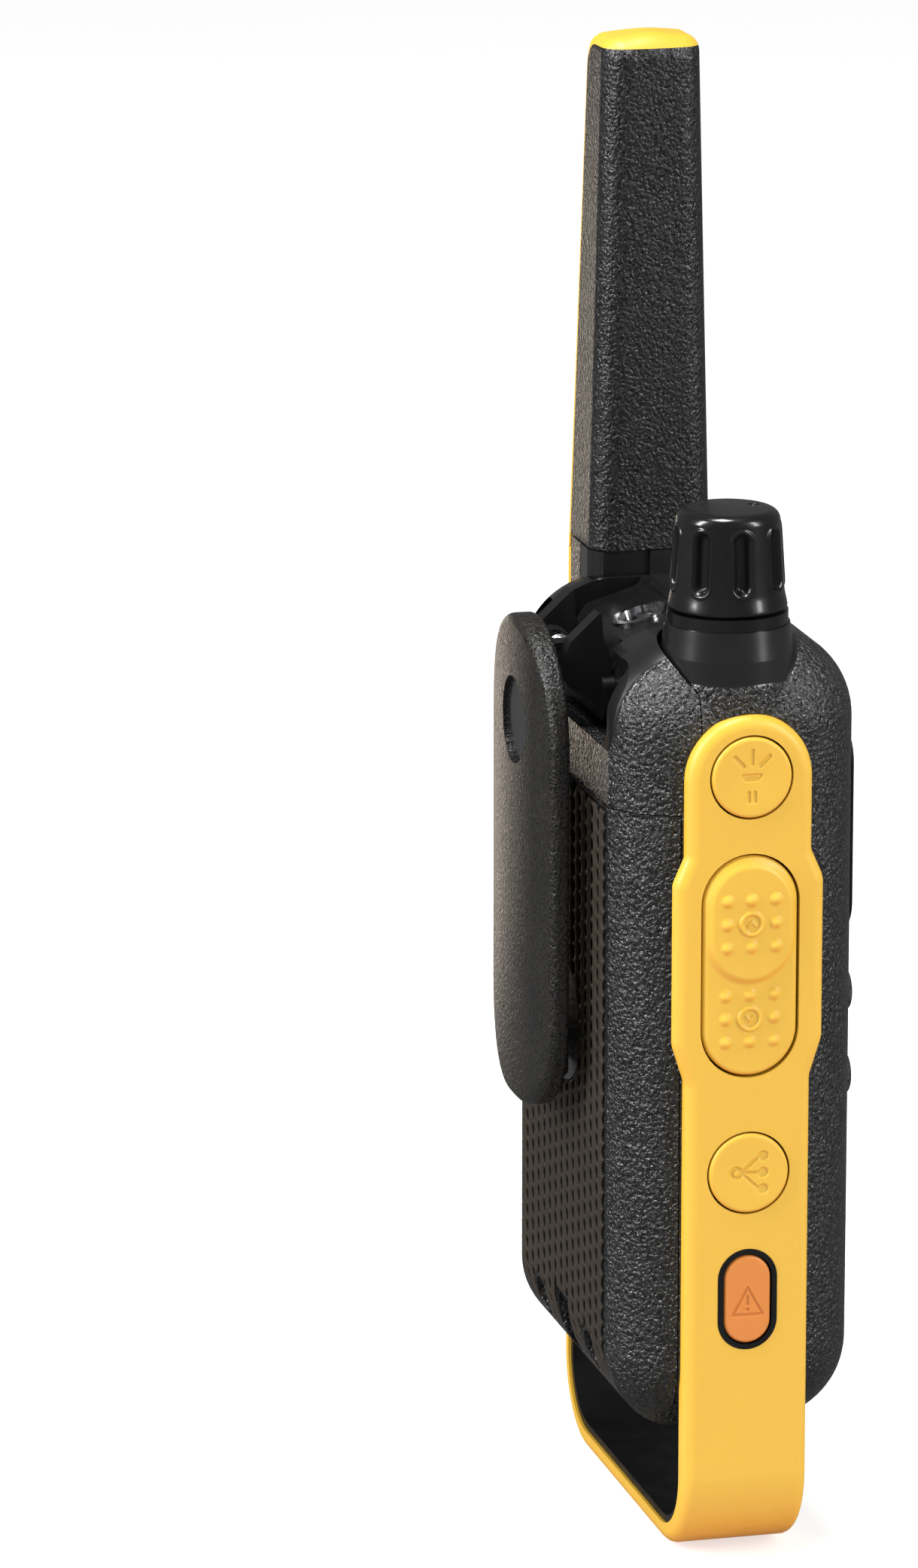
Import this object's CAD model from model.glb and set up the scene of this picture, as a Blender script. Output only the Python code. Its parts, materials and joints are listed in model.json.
"""Two way radio: materials, detailed pieces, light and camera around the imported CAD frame."""

import json
import math

import bmesh
import bpy
import numpy as np
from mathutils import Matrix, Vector

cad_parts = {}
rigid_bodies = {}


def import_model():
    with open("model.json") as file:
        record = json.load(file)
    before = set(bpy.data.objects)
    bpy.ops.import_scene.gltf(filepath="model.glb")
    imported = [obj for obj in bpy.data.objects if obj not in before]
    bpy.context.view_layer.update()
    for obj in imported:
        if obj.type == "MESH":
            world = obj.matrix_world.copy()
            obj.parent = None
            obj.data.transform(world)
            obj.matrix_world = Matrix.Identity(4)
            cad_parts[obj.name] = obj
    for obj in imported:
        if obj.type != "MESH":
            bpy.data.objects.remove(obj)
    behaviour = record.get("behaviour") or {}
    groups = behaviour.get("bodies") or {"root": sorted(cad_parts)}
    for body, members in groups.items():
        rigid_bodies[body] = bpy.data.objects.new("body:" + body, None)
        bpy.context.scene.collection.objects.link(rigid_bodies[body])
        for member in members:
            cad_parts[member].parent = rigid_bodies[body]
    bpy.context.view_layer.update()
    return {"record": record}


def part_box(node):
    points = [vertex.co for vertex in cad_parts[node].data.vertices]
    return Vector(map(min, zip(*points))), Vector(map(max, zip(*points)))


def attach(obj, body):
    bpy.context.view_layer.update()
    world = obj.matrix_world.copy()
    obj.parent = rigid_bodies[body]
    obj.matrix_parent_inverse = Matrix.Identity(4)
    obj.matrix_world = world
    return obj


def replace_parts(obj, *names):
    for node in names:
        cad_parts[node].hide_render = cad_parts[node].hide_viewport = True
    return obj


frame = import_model()
MM = 0.001

# ------------------------------------------------------------------ driving values, in millimetres
CAP_FACE_X, ROCKER_FACE_X, ALERT_FACE_X = -30.35, -30.05, -30.1
CAP_DEPTH = 2.0
ROUND_CAP_SIZE, ROCKER_CAP_SIZE, ALERT_CAP_SIZE = (10.5, 10.5), (29.0, 12.5), (11.8, 6.2)
STEM_ROOT_X, STEM_TIP_X, STEM_RADIUS, STEM_SPREAD = -28.6, -25.8, 1.6, 8.5
COVER_FACE_X = 30.0
PANEL_Y = 16.4

# where the body has no grain: each span is where the grain fades out
SMOOTH_SIDE, SMOOTH_LOW, SMOOTH_FRONT = (22.4, 23.2), (108.5, 109.5), (-4.0, -3.0)
KNOB_FOOT_OUT, KNOB_FOOT_LOW = (8.9, 9.2), (116.0, 116.6)

# camera: viewing angle, distance and framing
VIEW_TARGET = Vector((0, 0, 96)) * MM
VIEW_AZIMUTH = 254.108
VIEW_ELEVATION = 14.186
VIEW_DISTANCE = 1089.6 * MM
VIEW_ASIDE, VIEW_RISE = -29.6 * MM, 0.6 * MM
LENS = 192.5

# studio, in metres
FLOOR_RADII, FLOOR_CURVE, FLOOR_WALL = (0.4, 1.5, 3.0), 1.5, 3.5
FLOOR_GLOW, WORLD_GLOW = 0.6, 0.15


def low_high(node):
    """Lowest and highest corner of a CAD node, in millimetres."""
    low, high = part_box(node)
    return [v / MM for v in low], [v / MM for v in high]


def centre(node):
    low, high = low_high(node)
    return [(a + b) / 2 for a, b in zip(low, high)]


# ------------------------------------------------------------------ material helpers


class Surface:
    """A new material with its shader, and short ways to add texture nodes to it."""

    def __init__(self, name, color, roughness, metallic=0.0):
        self.material = bpy.data.materials.new(name)
        self.material.use_nodes = True
        self.nodes = self.material.node_tree.nodes
        self.links = self.material.node_tree.links
        self.shader = self.nodes["Principled BSDF"]
        self.put("Base Color", (*color, 1.0))
        self.put("Roughness", roughness)
        self.put("Metallic", metallic)
        self.normal = None
        self.coords = self.nodes.new("ShaderNodeTexCoord").outputs["Object"]

    def put(self, socket, value):
        self.shader.inputs[socket].default_value = value

    def node(self, kind, **values):
        node = self.nodes.new(kind)
        for key, value in values.items():
            setattr(node, key, value)
        return node

    def noise(self, scale, detail=2.0, stretch=(1, 1, 1), distortion=0.0):
        texture = self.node("ShaderNodeTexNoise")
        texture.inputs["Scale"].default_value = scale
        texture.inputs["Detail"].default_value = detail
        texture.inputs["Distortion"].default_value = distortion
        self.links.new(self.mapped(stretch), texture.inputs["Vector"])
        return texture.outputs["Fac"]

    def mapped(self, stretch):
        if tuple(stretch) == (1, 1, 1):
            return self.coords
        mapping = self.node("ShaderNodeMapping")
        mapping.inputs["Scale"].default_value = stretch
        self.links.new(self.coords, mapping.inputs["Vector"])
        return mapping.outputs["Vector"]

    def cells(self, scale, feature="SMOOTH_F1"):
        texture = self.node("ShaderNodeTexVoronoi", feature=feature)
        texture.inputs["Scale"].default_value = scale
        if feature == "SMOOTH_F1":
            texture.inputs["Smoothness"].default_value = 0.6
        self.links.new(self.coords, texture.inputs["Vector"])
        return texture.outputs["Distance"]

    def ramp(self, source, low, high, start=0.0, end=1.0):
        """Map a texture value between two outputs."""
        node = self.node("ShaderNodeMapRange")
        node.inputs["From Min"].default_value = start
        node.inputs["From Max"].default_value = end
        node.inputs["To Min"].default_value = low
        node.inputs["To Max"].default_value = high
        self.links.new(source, node.inputs["Value"])
        return node.outputs["Result"]

    def blend(self, factor, first, second):
        """Colour between two colours or sockets."""
        node = self.node("ShaderNodeMix", data_type="RGBA")
        self.links.new(factor, node.inputs["Factor"])
        for socket, value in ((node.inputs["A"], first), (node.inputs["B"], second)):
            if isinstance(value, tuple):
                socket.default_value = (*value, 1.0)
            else:
                self.links.new(value, socket)
        return node.outputs["Result"]

    def math(self, operation, first, second):
        """Arithmetic on two sockets or numbers."""
        node = self.node("ShaderNodeMath", operation=operation)
        for socket, value in zip(node.inputs, (first, second)):
            if isinstance(value, (int, float)):
                socket.default_value = value
            else:
                self.links.new(value, socket)
        return node.outputs["Value"]

    def xyz(self):
        split = self.node("ShaderNodeSeparateXYZ")
        self.links.new(self.coords, split.inputs["Vector"])
        return split.outputs["X"], split.outputs["Y"], split.outputs["Z"]

    def vary(self, socket, source):
        self.links.new(source, self.shader.inputs[socket])

    def bump(self, source, strength, distance):
        node = self.node("ShaderNodeBump")
        node.inputs["Strength"].default_value = strength
        node.inputs["Distance"].default_value = distance
        self.links.new(source, node.inputs["Height"])
        if self.normal is not None:
            self.links.new(self.normal, node.inputs["Normal"])
        self.normal = node.outputs["Normal"]
        self.links.new(self.normal, self.shader.inputs["Normal"])


# ------------------------------------------------------------------ materials


def smooth_zones(s):
    """1 round the saddle and on the knob's foot, where the body has no grain, and 0 elsewhere."""

    def rise(source, span):
        return s.ramp(source, 0, 1, span[0] * MM, span[1] * MM)

    def fall(source, span):
        return s.ramp(source, 1, 0, span[0] * MM, span[1] * MM)

    x, y, z = s.xyz()
    near, far = SMOOTH_SIDE
    zone = s.math("MULTIPLY", rise(x, (-far, -near)), fall(x, SMOOTH_SIDE))
    zone = s.math("MULTIPLY", zone, rise(z, SMOOTH_LOW))
    zone = s.math("MULTIPLY", zone, rise(y, SMOOTH_FRONT))
    knob_x, knob_y, _ = centre("knob")
    off_x, off_y = s.math("SUBTRACT", x, knob_x * MM), s.math("SUBTRACT", y, knob_y * MM)
    squares = s.math("ADD", s.math("MULTIPLY", off_x, off_x), s.math("MULTIPLY", off_y, off_y))
    away = s.math("SQRT", squares, 0.0)
    foot = s.math("MULTIPLY", fall(away, KNOB_FOOT_OUT), rise(z, KNOB_FOOT_LOW))
    return s.math("MAXIMUM", zone, foot)


def grained_black(name, color, roughness, scale, depth, glint, gloss=0.22, zones=None):
    """Moulded black plastic with a pebbled leather grain, left out of the smooth zones."""
    s = Surface(name, color, roughness)
    grain = s.noise(scale, 2.0, distortion=0.6)
    pebble = s.cells(scale * 0.7)
    if zones:
        smooth = zones(s)
        grit = s.math("SUBTRACT", 1.0, smooth)
        grain = s.math("ADD", s.math("MULTIPLY", grain, grit), s.math("MULTIPLY", smooth, 0.44))
        pebble = s.math("MULTIPLY", pebble, grit)
    patches = s.noise(scale * 0.045, 3.0)
    s.bump(pebble, 1.0, depth)
    s.bump(grain, 1.0, depth * 1.6)
    s.vary("Roughness", s.ramp(grain, roughness - glint, roughness + glint, 0.3, 0.7))
    lighter = tuple(min(1.0, c * 1.7 + 0.004) for c in color)
    tone = s.blend(patches, color, lighter)
    hollow = tuple(c * 0.35 for c in color)
    s.vary("Base Color", s.blend(s.ramp(grain, 0.0, 1.0, 0.36, 0.56), hollow, tone))
    s.put("Specular IOR Level", gloss)
    return s.material


def smooth_black(name, color, roughness, coat=0.0, gloss=0.3):
    """Smooth black plastic with faint flow marks."""
    s = Surface(name, color, roughness)
    flow = s.noise(260, 3.0, (1, 1, 0.3))
    fine = s.noise(2600, 2.0)
    s.bump(fine, 0.08, 0.00003)
    s.vary("Roughness", s.ramp(flow, roughness * 0.8, roughness * 1.25, 0.35, 0.65))
    lighter = tuple(c * 1.6 for c in color)
    s.vary("Base Color", s.blend(flow, color, lighter))
    s.put("Specular IOR Level", gloss)
    s.put("Coat Weight", coat)
    s.put("Coat Roughness", 0.12)
    return s.material


def moulded_colour(name, color, deep, roughness):
    """Satin coloured plastic with a fine grain, in a deeper colour where it faces down."""
    s = Surface(name, color, roughness)
    grain = s.noise(3400, 2.0)
    cloud = s.noise(60, 2.0)
    s.bump(grain, 0.35, 0.00005)
    s.vary("Roughness", s.ramp(grain, roughness - 0.07, roughness + 0.1, 0.3, 0.7))
    normal = s.node("ShaderNodeNewGeometry").outputs["Normal"]
    split = s.node("ShaderNodeSeparateXYZ")
    s.links.new(normal, split.inputs["Vector"])
    down = s.ramp(split.outputs["Z"], 1.0, 0.0, -1.0, 0.1)
    tone = s.blend(s.ramp(cloud, 0.0, 0.35, 0.3, 0.7), color, tuple(c * 0.93 for c in color))
    s.vary("Base Color", s.blend(down, tone, deep))
    s.put("Subsurface Weight", 0.08)
    s.put("Subsurface Radius", (0.0012, 0.0007, 0.0002))
    s.put("Subsurface Scale", 0.6)
    return s.material


def metal(name, color, roughness, stretch):
    """Plated or brushed metal."""
    s = Surface(name, color, roughness, 1.0)
    lines = s.noise(900, 2.0, stretch)
    s.bump(lines, 0.12, 0.00004)
    s.vary("Roughness", s.ramp(lines, roughness * 0.7, roughness * 1.4, 0.3, 0.7))
    return s.material


def plain_inner(name, color, roughness):
    """Unpainted moulding that is only seen with a cover open."""
    s = Surface(name, color, roughness)
    spots = s.noise(1400, 2.0)
    s.bump(spots, 0.15, 0.00004)
    s.vary("Base Color", s.blend(spots, color, tuple(c * 1.4 for c in color)))
    return s.material


def circuit_board(name):
    """Green solder mask with paler tracks."""
    s = Surface(name, (0.02, 0.16, 0.07), 0.35)
    tracks = s.cells(420, "F1")
    lines = s.ramp(tracks, 0.0, 1.0, 0.42, 0.5)
    s.vary("Base Color", s.blend(lines, (0.012, 0.12, 0.05), (0.05, 0.3, 0.13)))
    s.bump(lines, 0.3, 0.00003)
    return s.material


def clear_plastic(name, tint, roughness):
    s = Surface(name, tint, roughness)
    fine = s.noise(500, 2.0)
    s.vary("Roughness", s.ramp(fine, roughness, roughness * 2.2, 0.4, 0.8))
    s.put("Transmission Weight", 1.0)
    s.put("IOR", 1.5)
    return s.material


def woven_black(name):
    """The battery door's moulded panel: bronze black, with dark slits."""
    s = Surface(name, (0.03, 0.027, 0.025), 0.42)
    fine = s.noise(2600, 1.5)
    tint = s.noise(28, 2.0)
    s.bump(fine, 0.5, 0.00006)
    proud = s.node("ShaderNodeVertexColor", layer_name="proud").outputs["Color"]
    tone = s.blend(tint, (0.02, 0.0165, 0.013), (0.036, 0.028, 0.0215))
    s.vary("Base Color", s.blend(s.ramp(proud, 0.0, 1.0, 0.4, 0.7), (0.0015, 0.0012, 0.001), tone))
    s.vary("Roughness", s.ramp(fine, 0.36, 0.55, 0.3, 0.7))
    s.put("Specular IOR Level", 0.12)
    return s.material


def liquid_crystal(name):
    """Reflective display glass with a faint pixel grid."""
    s = Surface(name, (0.32, 0.38, 0.33), 0.3)
    grid = s.cells(1500, "F1")
    shade = s.noise(25, 2.0)
    s.vary("Base Color", s.blend(shade, (0.27, 0.33, 0.28), (0.38, 0.44, 0.37)))
    s.bump(grid, 0.08, 0.00002)
    return s.material


def dust_mesh(name):
    s = Surface(name, (0.012, 0.012, 0.012), 0.85)
    weave = s.cells(2200, "F1")
    s.bump(weave, 0.9, 0.0001)
    s.vary("Base Color", s.blend(weave, (0.004, 0.004, 0.004), (0.03, 0.03, 0.03)))
    return s.material


def wrapped_cell(name):
    s = Surface(name, (0.1, 0.22, 0.12), 0.3)
    band = s.noise(40, 1.0, (0.05, 0.05, 1))
    s.vary("Base Color", s.blend(band, (0.07, 0.17, 0.09), (0.14, 0.28, 0.15)))
    s.bump(s.noise(600), 0.08, 0.00003)
    return s.material


def glowing_led(name):
    s = Surface(name, (0.85, 0.8, 0.4), 0.4)
    spots = s.noise(1800)
    s.vary("Base Color", s.blend(spots, (0.8, 0.72, 0.3), (0.9, 0.88, 0.55)))
    return s.material


MATERIALS = {
    "black_grain": grained_black(
        "body_grain", (0.0065, 0.0065, 0.0067), 0.28, 2300, 0.00022, 0.11, 0.85, smooth_zones
    ),
    "clip_grain": grained_black("clip_grain", (0.0085, 0.0076, 0.0068), 0.3, 2900, 0.0001, 0.08, 0.4),
    "sheath": grained_black("sheath_grain", (0.0055, 0.0055, 0.0056), 0.28, 2600, 0.00012, 0.08, 0.6),
    "key_rubber": grained_black("key_rubber", (0.026, 0.026, 0.028), 0.55, 3200, 0.00004, 0.05),
    "black_satin": smooth_black("satin_black", (0.005, 0.005, 0.0054), 0.36, 0.0, 0.22),
    "black_gloss": smooth_black("gloss_black", (0.004, 0.004, 0.0044), 0.26, 0.1, 0.22),
    "knob_black": smooth_black("knob_black", (0.004, 0.004, 0.0044), 0.24, 0.3, 0.3),
    "yellow": moulded_colour("yellow_plastic", (0.58, 0.345, 0.029), (0.48, 0.17, 0.011), 0.42),
    "orange": moulded_colour("orange_plastic", (0.52, 0.17, 0.026), (0.36, 0.085, 0.01), 0.4),
    "badge": smooth_black("badge_black", (0.006, 0.006, 0.0066), 0.16, 0.5, 0.4),
    "lcd_mark": plain_inner("lcd_mark", (0.02, 0.025, 0.022), 0.4),
    "print_white": plain_inner("print_white", (0.62, 0.62, 0.6), 0.55),
    "steel": metal("steel", (0.6, 0.6, 0.61), 0.28, (1, 1, 0.1)),
    "contact_metal": metal("contact_metal", (0.34, 0.31, 0.29), 0.42, (1, 1, 1)),
    "dark_steel": metal("dark_steel", (0.13, 0.13, 0.135), 0.34, (1, 1, 0.3)),
    "copper": metal("copper", (0.75, 0.4, 0.2), 0.3, (1, 1, 0.2)),
    "inner_plastic": plain_inner("inner_plastic", (0.045, 0.045, 0.05), 0.5),
    "board": circuit_board("circuit_board"),
    "clear": clear_plastic("clear_plastic", (0.93, 0.95, 0.96), 0.03),
    "mirror_cup": metal("mirror_cup", (0.85, 0.85, 0.86), 0.1, (1, 1, 1)),
    "led": glowing_led("led_phosphor"),
    "screen": liquid_crystal("liquid_crystal"),
    "mesh": dust_mesh("dust_mesh"),
    "speaker_cone": plain_inner("speaker_cone", (0.035, 0.035, 0.04), 0.6),
    "cell_wrap": wrapped_cell("cell_wrap"),
    "weave": woven_black("door_weave"),
}


def dress(piece, name):
    """Give an object one material."""
    piece.data.materials.clear()
    piece.data.materials.append(MATERIALS[name])


def dress_nodes():
    """Every carried-over CAD node gets the material of its slot in the record, or a finer one."""
    finer = {
        "clip_plate": "clip_grain",
        "knob": "knob_black",
        "knob_collar": "knob_black",
        "clip_pin": "dark_steel",
        "torch_reflector": "dark_steel",
    }
    for row in frame["record"]["subparts"]:
        node = bpy.data.objects[row["node"]]
        dress(node, finer.get(row["node"], row["material_slot"]))


dress_nodes()

# ------------------------------------------------------------------ mesh helpers


def add_piece(name, points, faces, material, body):
    """New smooth-shaded mesh from points in millimetres, riding on a body."""
    mesh = bpy.data.meshes.new(name)
    mesh.from_pydata(np.asarray(points, dtype=float) * MM, [], faces)
    edit = bmesh.new()
    edit.from_mesh(mesh)
    bmesh.ops.remove_doubles(edit, verts=edit.verts, dist=1e-7)
    bmesh.ops.recalc_face_normals(edit, faces=edit.faces)
    edit.to_mesh(mesh)
    edit.free()
    mesh.shade_smooth()
    piece = bpy.data.objects.new(name, mesh)
    bpy.context.collection.objects.link(piece)
    mesh.materials.append(MATERIALS[material])
    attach(piece, body)
    return piece


def grid_faces(rows, columns, closed):
    """Quads between consecutive rows of points; closed joins the last column to the first."""
    faces = []
    for row in range(rows - 1):
        for column in range(columns if closed else columns - 1):
            after = (column + 1) % columns
            first, second = row * columns, (row + 1) * columns
            faces.append((first + column, first + after, second + after, second + column))
    return faces


def smooth_step(value):
    value = np.clip(value, 0, 1)
    return value * value * (3 - 2 * value)


def to_line(u, v, start, end):
    """Distance from points to a straight line between two ends."""
    du, dv = end[0] - start[0], end[1] - start[1]
    span = max(du * du + dv * dv, 1e-9)
    along = np.clip(((u - start[0]) * du + (v - start[1]) * dv) / span, 0, 1)
    return np.hypot(u - start[0] - along * du, v - start[1] - along * dv)


def stroke(distance, width, soft=0.22):
    """1 inside a line of this width, fading softly to 0 at its sides."""
    return smooth_step((width / 2 + soft / 2 - distance) / soft)


def lines(u, v, ends, width, rise):
    """Raised (or sunk) lines; they merge where they cross."""
    near = np.full_like(u, 99.0)
    for start, end in ends:
        near = np.minimum(near, to_line(u, v, start, end))
    return rise * stroke(near, width)


def ring(u, v, middle, radius, width, rise):
    return rise * stroke(np.abs(np.hypot(u - middle[0], v - middle[1]) - radius), width)


def dome(u, v, middle, diameter, rise):
    """Small round pip with a soft foot."""
    return rise * smooth_step(1.15 * (1 - np.hypot(u - middle[0], v - middle[1]) / (diameter / 2)))


def stadium(length, width, count):
    """Points round an upright round-ended bar, and the point of its spine that each belongs to."""
    straight = max(length - width, 0) / 2
    radius = width / 2
    turn = np.linspace(0, 2 * math.pi, count, endpoint=False) + 1e-4
    spine_v = np.where(np.sin(turn) > 0, straight, -straight)
    edge_u, edge_v = radius * np.cos(turn), spine_v + radius * np.sin(turn)
    if straight > 0:
        steps = int(count * straight / radius / 3)
        rise = np.linspace(-straight, straight, steps + 2)[1:-1]
        half = count // 2
        side = np.full(steps, radius)
        edge_u = np.concatenate([edge_u[:half], -side, edge_u[half:], side])
        edge_v = np.concatenate([edge_v[:half], rise[::-1], edge_v[half:], rise])
        spine_v = np.concatenate([spine_v[:half], rise[::-1], spine_v[half:], rise])
    return edge_u, edge_v, spine_v


def rim_drop(from_edge, rim):
    """How far a rounded rim has dropped at a distance in from the edge."""
    return rim - math.sqrt(max(rim**2 - max(rim - from_edge, 0) ** 2, 0))


def relief_cap(name, node, material, place, sign, size, depth, relief, rim=0.5, count=200, rings=70):
    """Button cap: a round-ended face with modelled relief, a rounded rim and sides.

    place is the middle of the face, sign the way it looks along X, size its length and width,
    and relief a function of the offsets across and up that gives the height in mm.
    The cap rides the body of the same name as its node.
    """
    length, width = size
    edge_u, edge_v, spine_v = stadium(length, width, count)
    rows = []
    inset = np.linspace(0, 1, rings) ** 1.25
    for t in inset:
        u, v = edge_u * (1 - t), spine_v + (edge_v - spine_v) * (1 - t)
        from_edge = t * width / 2
        rows.append((u, v, relief(u, v) * min(1, from_edge / rim) - rim_drop(from_edge, rim)))
    side = [(edge_u, edge_v, np.full_like(edge_u, -level)) for level in (depth, depth / 2)]
    rows = side + rows
    u = np.concatenate([row[0] for row in rows])
    v = np.concatenate([row[1] for row in rows])
    height = np.concatenate([row[2] for row in rows])
    x, y, z = place
    points = np.stack([x + sign * height, y + u, z + v], axis=1)
    columns = len(edge_u)
    faces = grid_faces(len(rows), columns, True) + [tuple(range(columns))]
    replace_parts(add_piece(name, points, faces, material, node), node)


# ------------------------------------------------------------------ side buttons


def dish(u, v):
    """The gently hollowed face of a round button."""
    return -0.12 * smooth_step(1 - np.hypot(u, v) / 5.2)


def torch_mark(u, v):
    """Lamp with three rays, sunk into a dished face."""
    rays = [((0, 1.8), (0, 3.5)), ((-1.1, 1.5), (-2.3, 2.7)), ((1.1, 1.5), (2.3, 2.7))]
    head = [((-1.1, 0.2), (1.1, 0.2)), ((-0.8, -0.2), (0.8, -0.2))]
    stem = [((-0.4, -2.0), (-0.4, -3.1)), ((0.4, -2.0), (0.4, -3.1))]
    return dish(u, v) + lines(u, v, rays + head, 0.5, -0.22) + lines(u, v, stem, 0.45, -0.22)


def pair_mark(u, v):
    """Three dots joined to a ring: a generic sign for linking handsets."""
    hub, ends = (1.7, 0.1), [(-1.9, 2.2), (-1.9, 0.0), (-1.9, -2.2)]
    arms = [((hub[0] - 0.6, hub[1]), (end[0] + 0.5, end[1])) for end in ends]
    sunk = lines(u, v, arms, 0.36, -0.2)
    sunk = np.minimum(sunk, ring(u, v, hub, 0.62, 0.42, -0.24))
    for end in ends:
        sunk = np.minimum(sunk, lines(u, v, [(end, end)], 1.3, -0.24))
    return dish(u, v) + sunk


def alert_mark(u, v):
    """Rounded triangle with a stroke and a dot."""
    left, right, top = (-2.0, -2.1), (2.0, -2.1), (0.0, 1.5)
    sunk = lines(u, v, [(left, right), (right, top), (top, left)], 0.32, -0.2)
    sunk = np.minimum(sunk, lines(u, v, [((0, 0.3), (0, -0.7))], 0.36, -0.2))
    return np.minimum(sunk, lines(u, v, [((0, -1.4), (0, -1.4))], 0.42, -0.2))


ROCKER_PAD_V, ROCKER_PAD_LENGTH, ROCKER_PAD_WIDTH = 5.75, 16.6, 12.2
ROCKER_GROUPS = (5.7, -6.9)
DOT_PITCH_U, DOT_PITCH_V = 3.2, 3.07


def rocker_relief(u, v):
    """Raised upper pad, and a group of pips round a ring mark on each half."""
    straight = (ROCKER_PAD_LENGTH - ROCKER_PAD_WIDTH) / 2
    near = to_line(u, v, (0, ROCKER_PAD_V - straight), (0, ROCKER_PAD_V + straight))
    height = 0.62 * smooth_step((ROCKER_PAD_WIDTH / 2 - near) / 1.2)
    for middle in ROCKER_GROUPS:
        for column in (-1, 0, 1):
            for row in (-1, 0, 1):
                spot = (column * DOT_PITCH_U, middle + row * DOT_PITCH_V)
                if column or row:
                    height = height + dome(u, v, spot, 2.0, 0.5)
        height = height + ring(u, v, (0, middle), 1.4, 0.5, 0.3)
        tip = 0.5 if middle > 0 else -0.5
        foot, peak = middle - tip / 2, middle + tip / 2
        chevron = [((-0.5, foot), (0, peak)), ((0, peak), (0.5, foot))]
        height = height + lines(u, v, chevron, 0.3, 0.2)
    return height


def stems(name, body, material, heights):
    """Round posts behind a cap that reach to its dome switches."""
    around = 32
    profile = (
        (STEM_ROOT_X, STEM_RADIUS),
        (STEM_TIP_X - 0.3, STEM_RADIUS),
        (STEM_TIP_X, STEM_RADIUS - 0.25),
        (STEM_TIP_X, 0.01),
    )
    turn = np.linspace(0, 2 * math.pi, around, endpoint=False)
    for index, z in enumerate(heights):
        rows = []
        for x, radius in profile:
            y, level = radius * np.cos(turn), z + radius * np.sin(turn)
            rows.append(np.stack([np.full(around, x), y, level], axis=1))
        faces = grid_faces(len(profile), around, True)
        add_piece(f"{name}_stem_{index}", np.concatenate(rows), faces, material, body)


def make_buttons():
    """The four side buttons: a cap with its relief, and the stems behind it."""
    low, high = low_high("ptt_rocker")
    torch_z, rocker_z = centre("torch_button")[2], (low[2] + high[2]) / 2
    pair_z, alert_z = centre("pair_button")[2], centre("alert_button")[2]

    def round_cap(name, z, relief):
        place = (CAP_FACE_X, 0, z)
        relief_cap(f"{name}_cap", f"{name}_button", "yellow", place, -1, ROUND_CAP_SIZE, CAP_DEPTH, relief)

    round_cap("torch", torch_z, torch_mark)
    relief_cap(
        "rocker_cap", "ptt_rocker", "yellow", (ROCKER_FACE_X, 0, rocker_z), -1, ROCKER_CAP_SIZE, CAP_DEPTH,
        rocker_relief, 0.7, 260, 96,
    )
    round_cap("pair", pair_z, pair_mark)
    relief_cap(
        "alert_cap", "alert_button", "orange", (ALERT_FACE_X, 0, alert_z), -1, ALERT_CAP_SIZE, CAP_DEPTH,
        alert_mark,
    )
    stems("torch", "torch_button", "yellow", [torch_z])
    stems("rocker", "ptt_rocker", "yellow", [rocker_z - STEM_SPREAD, rocker_z + STEM_SPREAD])
    stems("pair", "pair_button", "yellow", [pair_z])
    stems("alert", "alert_button", "orange", [alert_z])


# ------------------------------------------------------------------ socket cover


def plug_mark(u, v):
    """Generic plug: two prongs, a body and its lead, sunk into the cover."""
    prongs = [((-0.8, 2.4), (-0.8, 3.6)), ((0.8, 2.4), (0.8, 3.6))]
    shell = [((-1.5, 1.9), (1.5, 1.9)), ((-1.5, 1.9), (-1.5, 0.6)), ((1.5, 1.9), (1.5, 0.6))]
    shell += [((-1.5, 0.6), (-0.7, -0.5)), ((1.5, 0.6), (0.7, -0.5)), ((-0.7, -0.5), (0.7, -0.5))]
    lead = [((0, -0.5), (0, -2.6)), ((0, -2.6), (0.6, -3.4))]
    return lines(u, v, prongs + shell + lead, 0.42, -0.18)


def make_cover():
    low, high = low_high("socket_cover")
    z = (low[2] + high[2]) / 2
    relief_cap(
        "cover_cap", "socket_cover", "yellow", (COVER_FACE_X, 0, z), 1,
        (high[2] - low[2], high[1] - low[1]), 1.8, plug_mark, 0.55, 220, 80,
    )


# ------------------------------------------------------------------ knob


KNOB_AROUND, KNOB_UP = 400, 120
KNOB_RADIUS, KNOB_STEP, KNOB_TAPER = 7.66, 0.28, 0.85
KNOB_ROUND, KNOB_CROWN = 1.6, 0.15
KNOB_FLUTES = 8
FLUTE_LOW, FLUTE_HIGH, FLUTE_HALF, FLUTE_DEPTH = 128.9, 134.6, 1.2, 1.05


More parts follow.
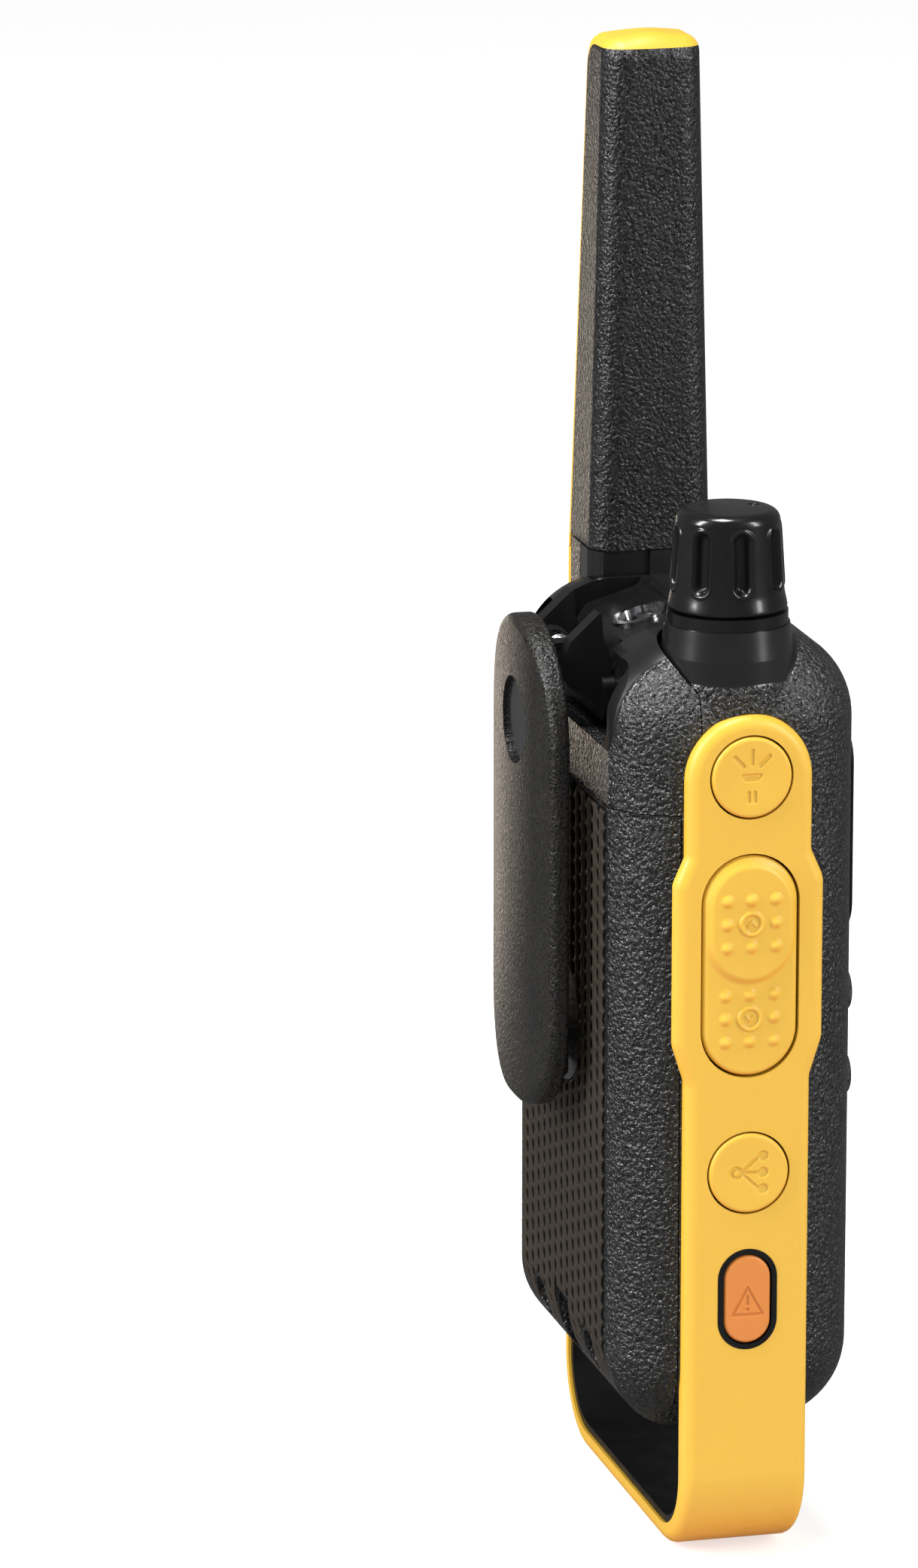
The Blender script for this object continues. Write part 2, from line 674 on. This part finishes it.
def make_knob():
    """Tapered knob with eight capsule flutes whose rims stand proud, and a ring mark on top."""
    low, high = low_high("knob")
    middle = [(a + b) / 2 for a, b in zip(low, high)]
    base, top = low[2], high[2]
    turn = np.linspace(0, 2 * math.pi, KNOB_AROUND, endpoint=False)
    pitch = 2 * math.pi / KNOB_FLUTES
    local = (turn + pitch / 2) % pitch - pitch / 2
    rows = []
    for bore in (3.05, 6.9):
        rows.append((np.full_like(turn, bore), base))
    for step in range(KNOB_UP + 1):
        z = base + (top - KNOB_ROUND - base) * step / KNOB_UP
        part = (z - base) / (top - base)
        radius = KNOB_RADIUS - KNOB_STEP * smooth_step(part * 5) - KNOB_TAPER * part
        if step < 4:
            radius -= 0.3 * (1 - step / 4) ** 2
        across = local * radius
        near = to_line(across, np.full_like(across, z), (0, FLUTE_LOW), (0, FLUTE_HIGH))
        hollow = -FLUTE_DEPTH * smooth_step((FLUTE_HALF - near) / 0.75)
        rim = 0.17 * stroke(np.abs(near - FLUTE_HALF - 0.22), 0.34, 0.3)
        rows.append((radius + hollow + rim, z))
    edge = rows[-1][0].mean()
    for step in range(1, 13):
        bend = math.pi / 2 * step / 12
        radius = edge - KNOB_ROUND * (1 - math.cos(bend))
        rows.append((np.full_like(turn, radius), top - KNOB_ROUND + 1.45 * math.sin(bend)))
    flat_edge = rows[-1][0][0]
    points = [np.stack([r * np.cos(turn), r * np.sin(turn), np.full_like(turn, z)], axis=1) for r, z in rows]
    for step in range(1, 50):
        r = flat_edge * (1 - step / 49)
        u, v = r * np.cos(turn), r * np.sin(turn)
        crown = KNOB_CROWN * (1 - (r / flat_edge) ** 2)
        mark = ring(u, v, (0.6, -3.5), 0.55, 0.3, -0.16)
        points.append(np.stack([u, v, top - KNOB_CROWN + crown + mark], axis=1))
    count = len(points)
    points = np.concatenate(points) + np.array([middle[0], middle[1], 0])
    faces = grid_faces(count, KNOB_AROUND, True)
    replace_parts(add_piece("knob_body", points, faces, "knob_black", "knob"), "knob")


# ------------------------------------------------------------------ battery door weave


WEAVE_X, WEAVE_Z = 5.8, 2.2
SLIT_SHARPNESS = 12
WEAVE_DEPTH = 0.42
WEAVE_HALF = 20.6
DOOR_CORNER = 12.5
BADGE_ROOM, PAD_ROOM, LATCH_ROOM = 8.3, 0.2, 0.5


def door_back(z, base):
    """How far back the door's panel is at a height: flat, then a round lower corner."""
    below = np.clip(base + DOOR_CORNER - z, 0, DOOR_CORNER - 0.01)
    return PANEL_Y - DOOR_CORNER + np.sqrt(DOOR_CORNER**2 - below**2)


def clear_disc(x, z, middle, radius):
    """Points inside a disc moved to its edge, which ones were inside, and the distance from the edge."""
    du, dv = x - middle[0], z - middle[1]
    away = np.hypot(du, dv)
    inside = away < radius
    scale = np.where(inside, radius / np.maximum(away, 1e-6), 1)
    return middle[0] + du * scale, middle[1] + dv * scale, inside, away - radius


def clear_box(x, z, middle_z, half_x, half_z):
    """The same for an upright box that is centred across the door."""
    du, dv = half_x - np.abs(x), half_z - np.abs(z - middle_z)
    inside = (du > 0) & (dv > 0)
    sideways = inside & (du < dv)
    upward = inside & ~sideways
    x = np.where(sideways, np.sign(x + 1e-9) * half_x, x)
    z = np.where(upward, middle_z + np.sign(z - middle_z + 1e-9) * half_z, z)
    return x, z, inside, np.maximum(-du, -dv)


def make_weave():
    """Panel of narrow, upright, staggered slits on the door, clear of its badge, latch and contacts."""
    low, high = low_high("battery_door")
    base, top = low[2], high[2] - 0.25
    bottom = base + 5.2
    x, z = np.meshgrid(np.arange(-WEAVE_HALF, WEAVE_HALF + 0.01, 0.2), np.arange(bottom, top, 0.17))
    shape = x.shape
    x, z = x.ravel(), z.ravel()
    badge = centre("door_badge")
    pads = low_high("charge_contacts")
    latch_low, latch_high = low_high("door_latch")
    pad_z, pad_radius = (pads[0][2] + pads[1][2]) / 2, (pads[1][2] - pads[0][2]) / 2
    pad_x = pads[1][0] - pad_radius
    from_edge = np.minimum.reduce([WEAVE_HALF - np.abs(x), z - bottom, top - z])
    hidden = np.zeros(len(x), dtype=bool)
    discs = [((0, badge[2]), BADGE_ROOM)]
    discs += [((side * pad_x, pad_z), pad_radius + PAD_ROOM) for side in (1, -1)]
    for middle, radius in discs:
        x, z, inside, away = clear_disc(x, z, middle, radius)
        hidden |= inside
        from_edge = np.minimum(from_edge, away)
    half_x, half_z = (latch_high[0] - latch_low[0]) / 2, (latch_high[2] - latch_low[2]) / 2
    middle_z = (latch_high[2] + latch_low[2]) / 2
    x, z, inside, away = clear_box(x, z, middle_z, half_x + LATCH_ROOM, half_z + LATCH_ROOM)
    hidden |= inside
    from_edge = np.minimum(from_edge, away)
    a, b = math.pi * x / WEAVE_X, math.pi * z / WEAVE_Z
    slits = np.abs(np.cos(a)) ** SLIT_SHARPNESS * np.abs(np.cos(b))
    slits += np.abs(np.sin(a)) ** SLIT_SHARPNESS * np.abs(np.sin(b))
    height = -0.12 + smooth_step(from_edge / 0.7) * (0.16 + WEAVE_DEPTH * (1 - smooth_step(1.3 * slits)))
    tilt = np.clip(base + DOOR_CORNER - z, 0, DOOR_CORNER) / DOOR_CORNER
    y = door_back(z, base) + height * np.sqrt(1 - tilt**2)
    points = np.stack([x, y, z - height * tilt], axis=1)
    rows, columns = shape
    faces = [face for face in grid_faces(rows, columns, False) if not all(hidden[i] for i in face)]
    piece = add_piece("door_weave", points, faces, "weave", "battery_door")
    rise = np.array([vertex.co.y / MM for vertex in piece.data.vertices])
    level = np.array([vertex.co.z / MM for vertex in piece.data.vertices])
    proud = np.clip((rise - door_back(level, base)) / WEAVE_DEPTH, 0, 1)
    tone = piece.data.color_attributes.new("proud", "FLOAT_COLOR", "POINT")
    tone.data.foreach_set("color", np.stack([proud] * 3 + [np.ones_like(proud)], axis=1).ravel())


# ------------------------------------------------------------------ clip spring


def make_spring():
    """Torsion spring of round wire on the clip's pin, with a leg to the plate and one to the bracket."""
    low, high = low_high("clip_spring")
    middle = [(a + b) / 2 for a, b in zip(low, high)]
    wire, coils, per_turn = 0.3, 5, 28
    lower_leg, upper_leg = 3.4, 2.6
    radius = (high[2] - low[2]) / 2 - wire
    data = bpy.data.curves.new("clip_coil", "CURVE")
    data.dimensions = "3D"
    data.bevel_depth = wire * MM
    data.bevel_resolution = 4
    spline = data.splines.new("POLY")
    path = []
    for step in range(coils * per_turn + 1):
        turn = 2 * math.pi * step / per_turn
        x = low[0] + wire + (high[0] - low[0] - 2 * wire) * step / (coils * per_turn)
        path.append((x, middle[1] + radius * math.cos(turn), middle[2] + radius * math.sin(turn)))
    path.insert(0, (path[0][0], path[0][1], path[0][2] - lower_leg))
    path.append((path[-1][0], path[-1][1] - 0.2, path[-1][2] + upper_leg))
    spline.points.add(len(path) - 1)
    for point, place in zip(spline.points, path):
        point.co = (*(c * MM for c in place), 1)
    curve = bpy.data.objects.new("clip_coil_curve", data)
    bpy.context.collection.objects.link(curve)
    mesh = bpy.data.meshes.new_from_object(curve.evaluated_get(bpy.context.evaluated_depsgraph_get()))
    bpy.data.objects.remove(curve)
    mesh.materials.clear()
    mesh.materials.append(MATERIALS["steel"])
    coil = bpy.data.objects.new("clip_coil", mesh)
    bpy.context.collection.objects.link(coil)
    mesh.shade_smooth()
    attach(coil, "housing")
    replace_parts(coil, "clip_spring")


# ------------------------------------------------------------------ front face


def strokes(name, body, paths, width, rise, material, face_y):
    """Flat printed or moulded strokes on the front face, each a rounded bar between two points."""
    around = 14
    points, faces = [], []
    for (u0, v0), (u1, v1) in paths:
        length = math.hypot(u1 - u0, v1 - v0)
        along = ((u1 - u0) / length, (v1 - v0) / length) if length > 1e-6 else (1.0, 0.0)
        first = len(points)
        for level, shrink in ((0.0, 0.0), (rise * 0.6, 0.0), (rise, 0.3)):
            half = width / 2 * (1 - shrink)
            for step in range(around):
                turn = math.pi * (step - around / 2 + 0.5) / (around / 2)
                end = (u1, v1) if math.cos(turn) > 0 else (u0, v0)
                du, dv = half * math.cos(turn), half * math.sin(turn)
                u = end[0] + du * along[0] - dv * along[1]
                v = end[1] + du * along[1] + dv * along[0]
                points.append((u, face_y - level, v))
        for level in (0, 1):
            start = first + level * around
            for step in range(around):
                after = (step + 1) % around
                faces.append((start + step, start + after, start + around + after, start + around + step))
        faces.append(tuple(range(first + 2 * around, first + 3 * around)))
    add_piece(name, points, faces, material, body)


def arc(middle, radius, start, end, steps):
    """Short straight strokes that follow an arc, in degrees."""
    turns = [math.radians(start + (end - start) * i / steps) for i in range(steps + 1)]
    places = [(middle[0] + radius * math.cos(t), middle[1] + radius * math.sin(t)) for t in turns]
    return list(zip(places, places[1:]))


KEY_SIGNS = {
    "key_power": arc((0, 0), 1.45, 120, 420, 14) + [((0, 0.3), (0, 1.9))],
    "key_menu": [((-1.7, v), (1.7, v)) for v in (-1.2, 0.0, 1.2)],
    "key_call": arc((-1.6, 0), 1.3, -45, 45, 6)
    + arc((-1.6, 0), 2.4, -45, 45, 8)
    + arc((-1.6, 0), 3.5, -40, 40, 8)
    + [((-1.5, 0), (-1.49, 0))],
    "key_scan": arc((-0.3, 0.3), 1.2, 0, 360, 16) + [((0.6, -0.6), (1.7, -1.6))],
    "key_select": [
        ((-1.3, 2.6), (0, 3.9)),
        ((0, 3.9), (1.3, 2.6)),
        ((-1.3, -2.6), (0, -3.9)),
        ((0, -3.9), (1.3, -2.6)),
    ],
}


def make_keys():
    """Domed rubber keys with printed generic signs."""
    for name, sign in KEY_SIGNS.items():
        low, high = low_high(name)
        x, z = (low[0] + high[0]) / 2, (low[2] + high[2]) / 2
        width, height = high[0] - low[0], high[2] - low[2]
        key_cap(name, (x, low[1], z), width, height)
        paths = [((x + u0, z + v0), (x + u1, z + v1)) for (u0, v0), (u1, v1) in sign]
        strokes(f"{name}_sign", name, paths, 0.42, 0.1, "print_white", low[1] + 0.03)


def key_cap(name, place, width, height):
    """Round-ended key lying across the face, with a soft crown."""
    edge_v, edge_u, spine_u = stadium(width, height, 120)
    rows = [(edge_u, edge_v, np.full_like(edge_u, -level)) for level in (3.2, 1.6)]
    half = height / 2
    for t in np.linspace(0, 1, 40) ** 1.4:
        u, v = spine_u + (edge_u - spine_u) * (1 - t), edge_v * (1 - t)
        rows.append((u, v, np.full_like(u, -rim_drop(t * half, 0.8))))
    x, y, z = place
    points = np.concatenate([np.stack([x + u, y - h, z + v], axis=1) for u, v, h in rows])
    columns = len(edge_u)
    faces = grid_faces(len(rows), columns, True) + [tuple(range(columns))]
    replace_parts(add_piece(f"{name}_cap", points, faces, "key_rubber", name), name)


SEGMENTS = {
    "a": ((0, 2), (1, 2)), "b": ((1, 2), (1, 1)), "c": ((1, 1), (1, 0)), "d": ((0, 0), (1, 0)),
    "e": ((0, 1), (0, 0)), "f": ((0, 2), (0, 1)), "g": ((0, 1), (1, 1)),
}


def digit(segments, left, bottom, width, height):
    """Seven-segment digit as strokes that stop short of its corners."""
    paths = []
    for key in segments:
        (u0, v0), (u1, v1) = SEGMENTS[key]
        ends = [(left + u * width, bottom + v * height / 2) for u, v in ((u0, v0), (u1, v1))]
        (x0, z0), (x1, z1) = ends
        trim = 0.14
        paths.append(
            ((x0 + (x1 - x0) * trim, z0 + (z1 - z0) * trim), (x1 - (x1 - x0) * trim, z1 - (z1 - z0) * trim))
        )
    return paths


def make_display():
    """Figures and bars on the liquid crystal, and the frame round its window."""
    low, high = low_high("display_module")
    face = low[1] - 0.02
    x, z = (low[0] + high[0]) / 2, (low[2] + high[2]) / 2
    paths = digit("abged", x - 5.0, z - 4.5, 4.2, 9.0) + digit("bc", x + 1.2, z - 4.5, 4.2, 9.0)
    strokes("display_figures", "housing", paths, 1.0, 0.05, "lcd_mark", face)
    bars = [((x - 14.2 + 1.3 * i, z + 7.4), (x - 14.2 + 1.3 * i, z + 8.2 + 0.6 * i)) for i in range(4)]
    cell = [((x + 9.6, z + 7.4), (x + 13.8, z + 7.4)), ((x + 13.8, z + 7.4), (x + 13.8, z + 9.6))]
    cell += [((x + 13.8, z + 9.6), (x + 9.6, z + 9.6)), ((x + 9.6, z + 9.6), (x + 9.6, z + 7.4))]
    cell += [((x + 14.5, z + 8.2), (x + 14.5, z + 8.8)), ((x + 10.6, z + 8.5), (x + 12.6, z + 8.5))]
    strokes("display_signs", "housing", bars + cell, 0.5, 0.05, "lcd_mark", face)
    low, high = low_high("display_lens")
    frame_ring("display_frame", low, high, low[1] - 0.25)


def frame_ring(name, low, high, y):
    """Raised round-section frame along a rounded rectangle on the front face."""
    radius, tube, around = 3.4, 0.55, 12
    left, right = low[0] - 0.7, high[0] + 0.7
    bottom, top = low[2] - 0.7, high[2] + 0.7
    middle = []
    for cx, cz, start in (
        (right - radius, top - radius, 0), (left + radius, top - radius, 90),
        (left + radius, bottom + radius, 180), (right - radius, bottom + radius, 270),
    ):
        for step in range(13):
            turn = math.radians(start + 90 * step / 12)
            middle.append((cx, cz, math.cos(turn), math.sin(turn)))
    rows = []
    for cx, cz, ou, ov in middle:
        for step in range(around):
            turn = 2 * math.pi * step / around
            out = radius + 0.75 * math.cos(turn)
            rows.append((cx + ou * out, y - tube * math.sin(turn) * 0.6, cz + ov * out))
    count = len(middle)
    faces = grid_faces(count, around, True)
    last = (count - 1) * around
    faces += [(last + i, last + (i + 1) % around, (i + 1) % around, i) for i in range(around)]
    add_piece(name, rows, faces, "black_satin", "housing")


make_buttons()
make_cover()
make_keys()
make_display()
make_knob()
make_weave()
make_spring()

# ------------------------------------------------------------------ floor, light and camera


def soft_light(name, place, size, power, color=(1, 1, 1)):
    """Rectangular area light, width by height, that looks at the middle of the radio."""
    data = bpy.data.lights.new(name, "AREA")
    data.shape = "RECTANGLE"
    data.size, data.size_y = size
    data.energy = power
    data.color = color
    light = bpy.data.objects.new(name, data)
    bpy.context.collection.objects.link(light)
    light.location = place
    light.rotation_euler = (VIEW_TARGET - Vector(place)).to_track_quat("-Z", "Y").to_euler()


def make_floor():
    """Pale floor that curves up into a round backdrop far from the radio, on every side.

    Glossy rays pass through it, so the black plastic mirrors the dim world and not the white floor.
    """
    s = Surface("pale_floor", (0.55, 0.55, 0.55), 0.7)
    s.vary("Base Color", s.blend(s.noise(6, 2.0), (0.53, 0.53, 0.53), (0.57, 0.57, 0.57)))
    s.put("Emission Color", (1.0, 1.0, 1.0, 1.0))
    s.put("Emission Strength", FLOOR_GLOW)
    around = 64
    outer = FLOOR_RADII[-1]
    profile = [(radius, 0.0) for radius in FLOOR_RADII]
    for step in range(1, 9):
        bend = math.pi / 2 * step / 8
        profile.append((outer + FLOOR_CURVE * math.sin(bend), FLOOR_CURVE * (1 - math.cos(bend))))
    profile.append((outer + FLOOR_CURVE, FLOOR_WALL))
    points = []
    for radius, height in profile:
        for step in range(around):
            turn = 2 * math.pi * step / around
            points.append((radius * math.cos(turn), radius * math.sin(turn), height))
    faces = [face[::-1] for face in grid_faces(len(profile), around, True)] + [tuple(range(around))]
    mesh = bpy.data.meshes.new("floor")
    mesh.from_pydata(points, [], faces)
    mesh.shade_smooth()
    floor = bpy.data.objects.new("floor", mesh)
    bpy.context.collection.objects.link(floor)
    floor.data.materials.append(s.material)
    floor.visible_glossy = False


def make_world():
    world = bpy.data.worlds.new("studio")
    world.use_nodes = True
    background = world.node_tree.nodes["Background"]
    background.inputs["Color"].default_value = (1.0, 1.0, 1.0, 1.0)
    background.inputs["Strength"].default_value = WORLD_GLOW
    bpy.context.scene.world = world


def view_axes():
    azimuth, elevation = math.radians(VIEW_AZIMUTH), math.radians(VIEW_ELEVATION)
    back = Vector(
        (
            math.sin(azimuth) * math.cos(elevation),
            -math.cos(azimuth) * math.cos(elevation),
            math.sin(elevation),
        )
    )
    right = Vector((math.cos(azimuth), math.sin(azimuth), 0))
    return back, right, back.cross(right)


def make_lights():
    back, right, up = view_axes()
    left = VIEW_TARGET + right * -0.7 + back * 0.4 + up * 0.36
    soft_light("key_left", left, (0.16, 0.66), 10)
    soft_light("key_right", VIEW_TARGET + right * 0.75 + back * 0.45 + up * 0.3, (0.16, 0.66), 6)
    soft_light("top", VIEW_TARGET + up * 0.85 + back * 0.3 + right * -0.1, (0.3, 0.3), 9)
    rim = VIEW_TARGET + right * -0.2 + back * -0.62 + up * 0.05
    soft_light("rim_left", rim, (0.12, 0.2), 0.2, (1.0, 0.84, 0.68))


def make_camera():
    back, right, up = view_axes()
    data = bpy.data.cameras.new("camera")
    data.lens = LENS
    data.sensor_width = 36.0
    camera = bpy.data.objects.new("camera", data)
    bpy.context.collection.objects.link(camera)
    camera.location = VIEW_TARGET + back * VIEW_DISTANCE
    aim = VIEW_TARGET + right * VIEW_ASIDE + up * VIEW_RISE
    camera.rotation_euler = (aim - camera.location).to_track_quat("-Z", "Y").to_euler()
    bpy.context.scene.camera = camera
    bpy.context.scene.view_settings.view_transform = "Standard"


make_floor()
make_world()
make_lights()
make_camera()
